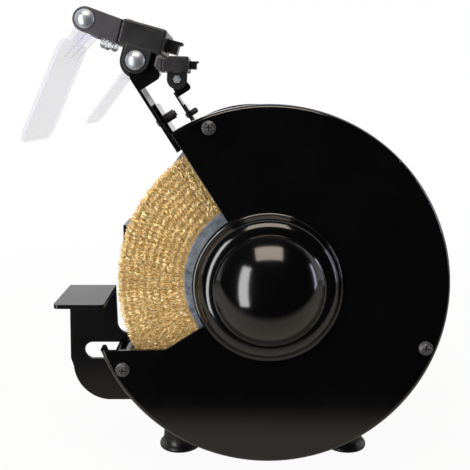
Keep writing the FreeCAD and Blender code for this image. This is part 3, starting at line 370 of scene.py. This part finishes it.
# The finish of each node, by its name without its side
NODE_FINISH: Dict[str, Finish] = {
    "base": CAST_PAINT, "base_plate": SATIN_ENAMEL, "base_plate_screws": BLACK_OXIDE,
    "rubber_feet": RUBBER, "motor_housing": GLOSS_ENAMEL, "end_bell": CAST_PAINT,
    "through_bolts": ZINC, "motor_screws": ZINC, "stator_core": CORE_STEEL,
    "stator_windings": COPPER, "bearing_outer_rings": GROUND_STEEL,
    "bearing_inner_rings": GROUND_STEEL, "bearing_balls": GROUND_STEEL, "capacitor": ALLOY,
    "switch_frame": GLOSS_ABS, "switch_rocker": GREEN_ABS, "cord_gland": CASE_ABS,
    "guard": GLOSS_ENAMEL, "guard_cover": GLOSS_ENAMEL, "guard_screws": ZINC,
    "cover_screws": BLACK_OXIDE, "arrester_screws": BLACK_OXIDE, "arrester_nuts": BLACK_OXIDE,
    "rest_bolts": ZINC, "rest_nuts": ZINC, "spindle": GROUND_STEEL, "rotor_core": CORE_STEEL,
    "rotor_end_rings": ALLOY, "inner_flanges": ZINC, "outer_flanges": ZINC, "spindle_nuts": ZINC,
    "brush_side_plates": DULL_ZINC, "brush_hub": GROUND_STEEL, "brush_bristles": WIRE_BED,
    "grinding_wheel": STONE, "wheel_bush": CASE_ABS, "wheel_blotters": CARD,
    "arrester": SATIN_ENAMEL, "lamp_head": HEAD_ABS, "battery_case": CASE_ABS,
    "lamp_button": CASE_ABS, "eye_shield": CLEAR_SHEET, "led_lamps": EPOXY,
    "batteries": CELL_JACKET, "lamp_bolts": ZINC, "lamp_nuts": ZINC, "tool_rest": SATIN_ENAMEL,
}


def deselect() -> None:
    """Leave every object unselected, in object mode."""
    if bpy.context.object is not None and bpy.context.object.mode != "OBJECT":
        bpy.ops.object.mode_set(mode="OBJECT")
    bpy.ops.object.select_all(action="DESELECT")


def face_outward() -> None:
    """Turn all faces of the mesh in edit mode outward and go back to object mode."""
    bpy.ops.mesh.select_all(action="SELECT")
    bpy.ops.mesh.normals_make_consistent(inside=False)
    bpy.ops.object.mode_set(mode="OBJECT")


def spin_outline(outline: Sequence[Pair], steps: int, axis: Point) -> bpy.types.Object:
    """Spin a closed outline in the XZ plane once round an axis through the origin.

    Args:
        outline: The outline's corners in turn, as X and Z.
        steps: How many steps make the turn.
        axis: The direction of the axis.

    Returns:
        The closed ring.
    """
    deselect()
    bpy.ops.mesh.primitive_circle_add(vertices=len(outline), fill_type="NOTHING", location=ORIGIN)
    obj = bpy.context.object
    for vertex, (x, z) in zip(obj.data.vertices, outline):
        vertex.co = Vector((x, 0, z))
    bpy.ops.object.mode_set(mode="EDIT")
    bpy.ops.mesh.select_all(action="SELECT")
    bpy.ops.mesh.spin(steps=steps, angle=FULL_TURN, center=ORIGIN, axis=axis)
    bpy.ops.mesh.select_all(action="SELECT")
    bpy.ops.mesh.remove_doubles(threshold=WELD)
    face_outward()
    return obj


def dress(obj: bpy.types.Object, finish: Finish) -> None:
    """Give an object one finish on all its faces.

    Args:
        obj: The object.
        finish: Its finish.
    """
    obj.data.materials.clear()
    obj.data.materials.append(finish.build())


def settle(obj: bpy.types.Object, name: str, body: str, finish: Finish) -> bpy.types.Object:
    """Apply an object's place to its mesh, name it, dress it and let it ride.

    Args:
        obj: The new piece.
        name: Its name.
        body: The body that carries it.
        finish: Its finish.

    Returns:
        The same object.
    """
    deselect()
    obj.select_set(True)
    bpy.context.view_layer.objects.active = obj
    bpy.ops.object.transform_apply(location=True, rotation=True, scale=True)
    obj.name = name
    obj.data.name = name
    dress(obj, finish)
    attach(obj, body)
    LOG.info("piece %s on %s: %s", name, body, finish.name)
    return obj


@dataclass
class CarriedNodes:
    """The CAD nodes that stay as they are and only get their finishes."""

    finishes: Dict[str, Finish] = field(default_factory=lambda: dict(NODE_FINISH))

    def build(self) -> None:
        """Dress every node of the frame, the left and the right one of a pair alike."""
        for name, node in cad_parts.items():
            stem = name
            for side in Side:
                stem = stem.removesuffix("_" + side.word)
            dress(node, self.finishes[stem])
            LOG.info("node %s: %s", name, self.finishes[stem].name)


@dataclass(frozen=True)
class WireLayer:
    """One layer of wires: how many, and between which places across the wheel."""

    name: str
    wires: int
    start: float
    end: float


@dataclass
class WireWheel:
    """The crimped wire wheel: a packed bed and the wires over it. Spreads of angles are in radians."""

    centre: Point = (0.150, 0.0, 0.142)
    root_radius: float = 0.052
    tip_radius: float = 0.0992
    half_width: float = 0.0111
    bed_radius: float = 0.0955
    bed_depth: float = 0.02
    bed_half_widths: Pair = (0.0088, 0.0092)
    bed_steps: int = 120
    wire_radius: float = 0.00022
    wire_sides: int = 3
    steps: int = 20
    crimp_height: float = 0.0008
    crimp_jitter: float = 0.0004
    root_crimp: float = 0.15
    root_steps: int = 3
    turn_spread: float = 0.7
    lean_round: float = 0.26
    lean_across: float = 0.008
    phase_spread: float = 0.0011
    phase_least: float = 0.3
    phase_waves: float = 1.5
    shortest: float = 0.96
    root_fan: float = 0.9
    seed: int = 7
    layers: Tuple[WireLayer, ...] = (
        WireLayer("face", 1600, 0.0098, 0.0107), WireLayer("under_face", 1595, 0.0092, 0.0104),
        WireLayer("outer", 1590, 0.0080, 0.0098), WireLayer("middle", 1580, -0.0080, 0.0080),
        WireLayer("inner", 1570, -0.0100, -0.0080), WireLayer("back", 1565, -0.0107, -0.0095))

    @property
    def span(self) -> float:
        """The straight length of a wire, from its root to its tip."""
        return self.tip_radius - self.root_radius

    def build(self) -> None:
        """Make the bed and the wires in place of the plain ring."""
        bed = self.bed()
        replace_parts(bed, "brush_bristles")
        for layer in self.layers:
            self.crown(self.one_wire(), layer)

    def bed(self) -> bpy.types.Object:
        """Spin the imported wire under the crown.

        Returns:
            The ring.
        """
        inner, outer = self.root_radius - self.bed_depth, self.bed_radius
        narrow, wide = self.bed_half_widths
        corners = [(-narrow, inner), (narrow, inner), (wide, outer), (-wide, outer)]
        obj = spin_outline(corners, self.bed_steps, (1, 0, 0))
        obj.location = self.centre
        return settle(obj, "brush_wire_bed", "spindle", WIRE_BED)

    def one_wire(self) -> bpy.types.Object:
        """Extrude one crimped wire along Z.

        Returns:
            The wire, from its root at the origin.
        """
        deselect()
        bpy.ops.mesh.primitive_circle_add(vertices=self.wire_sides, radius=self.wire_radius,
                                          fill_type="NGON", location=ORIGIN)
        obj = bpy.context.object
        rise = self.span / self.steps
        bpy.ops.object.mode_set(mode="EDIT")
        bpy.ops.mesh.select_all(action="SELECT")
        last = 0.0
        for step in range(1, self.steps + 1):
            wave = self.crimp_height * (1 if step % 2 else -1)
            bpy.ops.mesh.extrude_region_move(TRANSFORM_OT_translate={"value": (wave - last, 0, rise)})
            last = wave
        face_outward()
        return obj

    def crown(self, wire: bpy.types.Object, layer: WireLayer) -> None:
        """Set copies of the wire all round the wheel as one piece.

        Args:
            wire: The modelled wire, which is used up.
            layer: The layer that the copies make.
        """
        rng = np.random.default_rng(self.seed + layer.wires)
        form = np.array([v.co for v in wire.data.vertices])
        faces = [list(p.vertices) for p in wire.data.polygons]
        bpy.data.objects.remove(wire, do_unlink=True)
        level = np.rint(form[:, 2] * self.steps / self.span).astype(int)
        # Near the root the crimp is flat, so that no wire stands out over the side plates
        crimp = np.clip((level - 1) / self.root_steps, self.root_crimp, 1.0)
        points: List[np.ndarray] = []
        indices: List[List[int]] = []
        for count in range(layer.wires):
            angle = FULL_TURN * (count + rng.uniform(-0.5, 0.5)) / layer.wires
            fan = rng.uniform(layer.start, layer.end)
            turn = Matrix.Rotation(rng.normal(0, self.turn_spread), 3, "Z")
            lean = (Matrix.Rotation(rng.normal(0, self.lean_round), 3, "X")
                    @ Matrix.Rotation(rng.normal(0, self.lean_across), 3, "Y"))
            swing = Matrix.Rotation(angle, 3, "X")
            # Crimps line up into rings where this spread is small, and blur where it is large
            loose = self.phase_spread * (self.phase_least + abs(math.cos(self.phase_waves * angle)))
            root_radius = self.root_radius + rng.normal(0, loose)
            length = (self.tip_radius - root_radius) / self.span
            shape = form * (1.0, 1.0, length * rng.uniform(self.shortest, 1.0))
            shape[:, :2] += rng.normal(0, self.crimp_jitter, (self.steps + 1, 2))[level]
            shape[:, :2] *= crimp[:, None]
            shape = shape @ np.array(turn).T
            shape = shape @ np.array(lean).T
            root = fan * self.root_fan
            shape = shape + (root, 0.0, root_radius)
            shape[:, 0] += (fan - root) * (shape[:, 2] - self.root_radius) / self.span
            shape[:, 0] = np.clip(shape[:, 0], -self.half_width, self.half_width)
            shape = shape @ np.array(swing).T
            base = count * len(form)
            points.append(shape + self.centre)
            indices.extend([[base + i for i in face] for face in faces])
        label = "brush_wires_" + layer.name
        mesh = bpy.data.meshes.new(label)
        mesh.from_pydata(np.concatenate(points).tolist(), [], indices)
        mesh.update()
        obj = bpy.data.objects.new(label, mesh)
        bpy.context.scene.collection.objects.link(obj)
        settle(obj, label, "spindle", BRASS_WIRE)


@dataclass
class BoltDomes:
    """Domed faces on the four carriage bolts of the lamps, each by its name, side, Y and Z."""

    seat: float = 0.1751
    skirt: float = 0.0007
    rise: float = 0.0028
    radius: float = 0.0061
    segments: int = 48
    rings: int = 96
    smooth_degrees: float = 40.0
    places: Tuple[Tuple[str, Side, float, float], ...] = (
        ("pivot", Side.RIGHT, -0.08329, 0.28479), ("shield", Side.RIGHT, -0.114035, 0.310125),
        ("pivot", Side.LEFT, -0.083285, 0.28479), ("shield", Side.LEFT, -0.1191, 0.30225))

    def build(self) -> None:
        """Set one dome on each bolt."""
        for name, side, across, height in self.places:
            self.dome(name, side, across, height)

    def dome(self, name: str, side: Side, across: float, height: float) -> None:
        """Cut a cap from a ball, give it a straight skirt and set it on its bolt.

        Args:
            name: The bolt's name.
            side: The end of the machine.
            across: Its Y.
            height: Its Z.
        """
        ball = (self.radius ** 2 + self.rise ** 2) / (2 * self.rise)
        floor = ball - self.rise
        deselect()
        bpy.ops.mesh.primitive_uv_sphere_add(segments=self.segments, ring_count=self.rings,
                                             radius=ball, location=ORIGIN)
        obj = bpy.context.object
        bpy.ops.object.mode_set(mode="EDIT")
        bpy.ops.mesh.select_all(action="SELECT")
        bpy.ops.mesh.bisect(plane_co=(0, 0, floor), plane_no=(0, 0, 1), clear_inner=True, use_fill=True)
        bpy.ops.mesh.extrude_region_move(TRANSFORM_OT_translate={"value": (0, 0, -self.skirt)})
        face_outward()
        bpy.ops.object.shade_smooth_by_angle(angle=math.radians(self.smooth_degrees))
        obj.rotation_euler = (0, side.value * math.pi / 2, 0)
        obj.location = (side.value * (self.seat + self.skirt - floor), across, height)
        settle(obj, f"{name}_bolt_dome_{side.word}", "lamp_" + side.word, ZINC)


@dataclass
class RubberFeet:
    """The four flared rubber feet, each with its bolt's way through it."""

    reach: Pair = (0.095, 0.0625)
    profile_mm: Tuple[Pair, ...] = (
        (4.25, 0.0), (14.7, 0.0), (15.3, 0.3), (15.5, 0.9), (15.5, 1.8), (15.2, 2.5), (14.3, 3.4),
        (13.3, 4.6), (12.7, 6.2), (12.4, 8.5), (12.3, 11.0), (12.3, 20.0), (4.25, 20.0))
    turns: int = 64
    smooth_degrees: float = 35.0

    def build(self) -> None:
        """Make one foot, copy it to the corners and put all four in the plain feet's place."""
        first = self.foot()
        feet = [first]
        for x, y in ((-1, -1), (-1, 1), (1, 1)):
            twin = first.copy()
            twin.data = first.data.copy()
            bpy.context.scene.collection.objects.link(twin)
            twin.location = (x * self.reach[0], y * self.reach[1], 0)
            feet.append(twin)
        first.location = (self.reach[0], -self.reach[1], 0)
        deselect()
        for foot in feet:
            foot.select_set(True)
        bpy.context.view_layer.objects.active = first
        bpy.ops.object.join()
        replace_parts(settle(first, "flared_feet", "frame", RUBBER), "rubber_feet")

    def foot(self) -> bpy.types.Object:
        """Spin the foot's outline round its bolt.

        Returns:
            The foot, standing at the origin.
        """
        outline = [(radius * MM, height * MM) for radius, height in self.profile_mm]
        obj = spin_outline(outline, self.turns, (0, 0, 1))
        bpy.ops.object.shade_smooth_by_angle(angle=math.radians(self.smooth_degrees))
        return obj


@dataclass(frozen=True)
class SoftBox:
    """One rectangular studio lamp: where it hangs, what it faces, its sides, power and colour."""

    name: str
    place: Point
    aim: Point
    sides: Pair
    watts: float
    tone: str

    def build(self) -> None:
        """Hang the lamp so that it faces its aim."""
        lamp = bpy.data.lights.new(self.name, "AREA")
        lamp.shape = "RECTANGLE"
        lamp.size, lamp.size_y = self.sides
        lamp.energy = self.watts
        lamp.color = linear(self.tone)[:3]
        obj = bpy.data.objects.new(self.name, lamp)
        bpy.context.scene.collection.objects.link(obj)
        obj.location = self.place
        facing = Vector(self.aim) - Vector(self.place)
        obj.rotation_euler = facing.to_track_quat("-Z", "Y").to_euler()


@dataclass
class Studio:
    """Pale table, dark room before it, soft light and the camera at the photograph's place."""

    camera_place: Point = (0.6103, -0.0241, 0.2579)
    pitch: float = 4.42
    focal_px: float = 700.0
    frame_px: float = 470.0
    centre_px: Pair = (231.0, 158.1)
    sensor_mm: float = 36.0
    near: float = 0.01
    floor_size: float = 12.0
    floor_tone: str = "#c8c5c0"
    table_edge: float = 0.315
    table_fade: float = 0.265
    shadow_reach: Pair = (0.25, 0.9)
    shown_white: Pair = (0.95, 1.0)
    room_floor: float = -0.9
    sheet_size: float = 6.0
    curtain_radius: float = 2.6
    curtain_height: float = 3.7
    curtain_turns: int = 64
    curtain_start: float = 0.25
    velvet_tone: str = "#060606"
    velvet_roughness: float = 0.95
    sky_tone: str = "#f4f1ec"
    sky_strength: float = 0.45
    boxes: Tuple[SoftBox, ...] = (
        SoftBox("top_box", (0.92, 0.02, 1.38), (0.15, 0.0, 0.15), (1.1, 0.6), 13.0, "#ffeedd"),
        SoftBox("left_strip", (1.05, -0.80, 0.15), (0.2, 0.0, 0.15), (0.34, 1.4), 14.0, "#ffffff"),
        SoftBox("right_strip", (0.35, 1.4, 0.25), (0.2, 0.0, 0.15), (0.10, 0.9), 2.2, "#e6e4ff"),
        SoftBox("rear_box", (-1.2, -0.6, 1.3), (0.0, 0.0, 0.2), (1.0, 0.8), 10.0, "#ffffff"))

    def build(self) -> None:
        """Set floor, dark room, world, lamps and camera."""
        self.floor()
        self.curtain()
        self.dark_sheet("dark_apron", self.room_floor)
        self.dark_sheet("dark_ceiling", self.room_floor + self.curtain_height)
        self.world()
        for box in self.boxes:
            box.build()
        self.camera()

    def floor(self) -> None:
        """Lay the pale floor, which stays near white to the camera and keeps the shadow."""
        deselect()
        bpy.ops.mesh.primitive_plane_add(
            size=self.floor_size, location=(self.table_edge - self.floor_size / 2, 0, 0))
        plane = bpy.context.object
        plane.name = "floor"
        bpy.ops.object.transform_apply(location=True, rotation=True, scale=True)
        # Matt paper sweep: even white with a soft shadow, dark at the edge that the cover mirrors
        made = bpy.data.materials.new("matt white sweep")
        made.use_nodes = True
        tree = made.node_tree
        tree.nodes.clear()
        ray = add_node(tree, "ShaderNodeLightPath")
        share = add_node(tree, "ShaderNodeMath", {
            0: ray.outputs["Is Camera Ray"], 1: ray.outputs["Is Transmission Ray"]},
            operation="MAXIMUM")
        place = add_node(tree, "ShaderNodeTexCoord")
        reach = add_node(tree, "ShaderNodeVectorMath", {0: place.outputs["Object"]}, operation="LENGTH")
        fade = add_node(tree, "ShaderNodeMapRange", {
            "Value": reach.outputs["Value"],
            "From Min": self.shadow_reach[0], "From Max": self.shadow_reach[1],
            "To Min": self.shown_white[0], "To Max": self.shown_white[1]})
        part = add_node(tree, "ShaderNodeMath", {
            0: share.outputs[0], 1: fade.outputs["Result"]}, operation="MULTIPLY")
        split = add_node(tree, "ShaderNodeSeparateXYZ", {"Vector": place.outputs["Object"]})
        dusk = add_node(tree, "ShaderNodeMapRange", {
            "Value": split.outputs["X"], "From Min": self.table_fade, "From Max": self.table_edge})
        cover = add_node(tree, "ShaderNodeMix", {
            MIX_FACTOR: dusk.outputs["Result"], MIX_A: linear(self.floor_tone),
            MIX_B: linear(self.velvet_tone)}, data_type="RGBA")
        matt = add_node(tree, "ShaderNodeBsdfDiffuse", {"Color": cover.outputs[MIX_COLOUR]})
        glow = add_node(tree, "ShaderNodeEmission", {"Color": WHITE, "Strength": 1.0})
        blend = add_node(tree, "ShaderNodeMixShader", {
            0: part.outputs[0], 1: matt.outputs[0], 2: glow.outputs[0]})
        add_node(tree, "ShaderNodeOutputMaterial", {"Surface": blend.outputs[0]})
        plane.data.materials.append(made)

    def curtain(self) -> None:
        """Hang the dark curtain behind the camera that the gloss black mirrors."""
        deselect()
        bpy.ops.mesh.primitive_circle_add(vertices=self.curtain_turns, radius=self.curtain_radius,
                                          fill_type="NOTHING", location=(0, 0, self.room_floor))
        cloth = bpy.context.object
        cloth.name = "dark_curtain"
        bpy.ops.object.mode_set(mode="EDIT")
        bpy.ops.mesh.select_all(action="SELECT")
        bpy.ops.mesh.bisect(plane_co=(self.curtain_start, 0, 0), plane_no=(1, 0, 0), clear_inner=True)
        bpy.ops.mesh.select_all(action="SELECT")
        bpy.ops.mesh.extrude_region_move(TRANSFORM_OT_translate={"value": (0, 0, self.curtain_height)})
        bpy.ops.object.mode_set(mode="OBJECT")
        self.blacken(cloth)

    def dark_sheet(self, name: str, height: float) -> None:
        """Close the dark room before the table's edge with a level sheet.

        Args:
            name: The sheet's name.
            height: Its Z.
        """
        deselect()
        bpy.ops.mesh.primitive_plane_add(
            size=self.sheet_size, location=(self.table_edge + self.sheet_size / 2, 0, height))
        cloth = bpy.context.object
        cloth.name = name
        self.blacken(cloth)

    def blacken(self, cloth: bpy.types.Object) -> None:
        """Make a sheet black velvet that only gloss can see.

        Args:
            cloth: The sheet.
        """
        made = bpy.data.materials.get("black velvet")
        if made is None:
            # Velvet: a black with no shine, which keeps the mirrored room dark
            made = bpy.data.materials.new("black velvet")
            made.use_nodes = True
            shader = made.node_tree.nodes["Principled BSDF"]
            shader.inputs["Base Color"].default_value = linear(self.velvet_tone)
            shader.inputs["Roughness"].default_value = self.velvet_roughness
            shader.inputs["Specular IOR Level"].default_value = 0.0
        cloth.data.materials.append(made)
        cloth.visible_camera = False
        cloth.visible_transmission = False
        cloth.visible_shadow = False
        cloth.visible_diffuse = False

    def world(self) -> None:
        """White to the camera, to gloss and through clear sheet; a soft grey for the rest."""
        world = bpy.data.worlds.new("studio")
        bpy.context.scene.world = world
        world.use_nodes = True
        tree = world.node_tree
        tree.nodes.clear()
        ray = add_node(tree, "ShaderNodeLightPath")
        seen = add_node(tree, "ShaderNodeMath", {
            0: ray.outputs["Is Camera Ray"], 1: ray.outputs["Is Transmission Ray"]},
            operation="MAXIMUM")
        shown = add_node(tree, "ShaderNodeMath", {
            0: seen.outputs[0], 1: ray.outputs["Is Glossy Ray"]}, operation="MAXIMUM")
        soft = add_node(tree, "ShaderNodeBackground", {
            "Color": linear(self.sky_tone), "Strength": self.sky_strength})
        white = add_node(tree, "ShaderNodeBackground", {"Color": WHITE, "Strength": 1.0})
        blend = add_node(tree, "ShaderNodeMixShader", {
            0: shown.outputs[0], 1: soft.outputs[0], 2: white.outputs[0]})
        add_node(tree, "ShaderNodeOutputWorld", {"Surface": blend.outputs[0]})

    def camera(self) -> None:
        """Put the camera where the photograph was taken."""
        lens = bpy.data.cameras.new("camera")
        lens.sensor_width = self.sensor_mm
        lens.lens = self.focal_px / self.frame_px * lens.sensor_width
        half = self.frame_px / 2
        lens.shift_x = (half - self.centre_px[0]) / self.frame_px
        lens.shift_y = -(half - self.centre_px[1]) / self.frame_px
        lens.clip_start = self.near
        obj = bpy.data.objects.new("camera", lens)
        bpy.context.scene.collection.objects.link(obj)
        obj.location = self.camera_place
        obj.rotation_euler = (math.radians(90 - self.pitch), 0, math.radians(90))
        bpy.context.scene.camera = obj


def main() -> None:
    """Dress the frame, add the new pieces and set the studio."""
    logging.basicConfig(level=logging.INFO, format="%(name)s: %(message)s")
    bpy.context.scene.view_settings.view_transform = "Standard"
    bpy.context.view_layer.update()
    CarriedNodes().build()
    WireWheel().build()
    BoltDomes().build()
    RubberFeet().build()
    Studio().build()


if __name__ == "__main__":
    main()
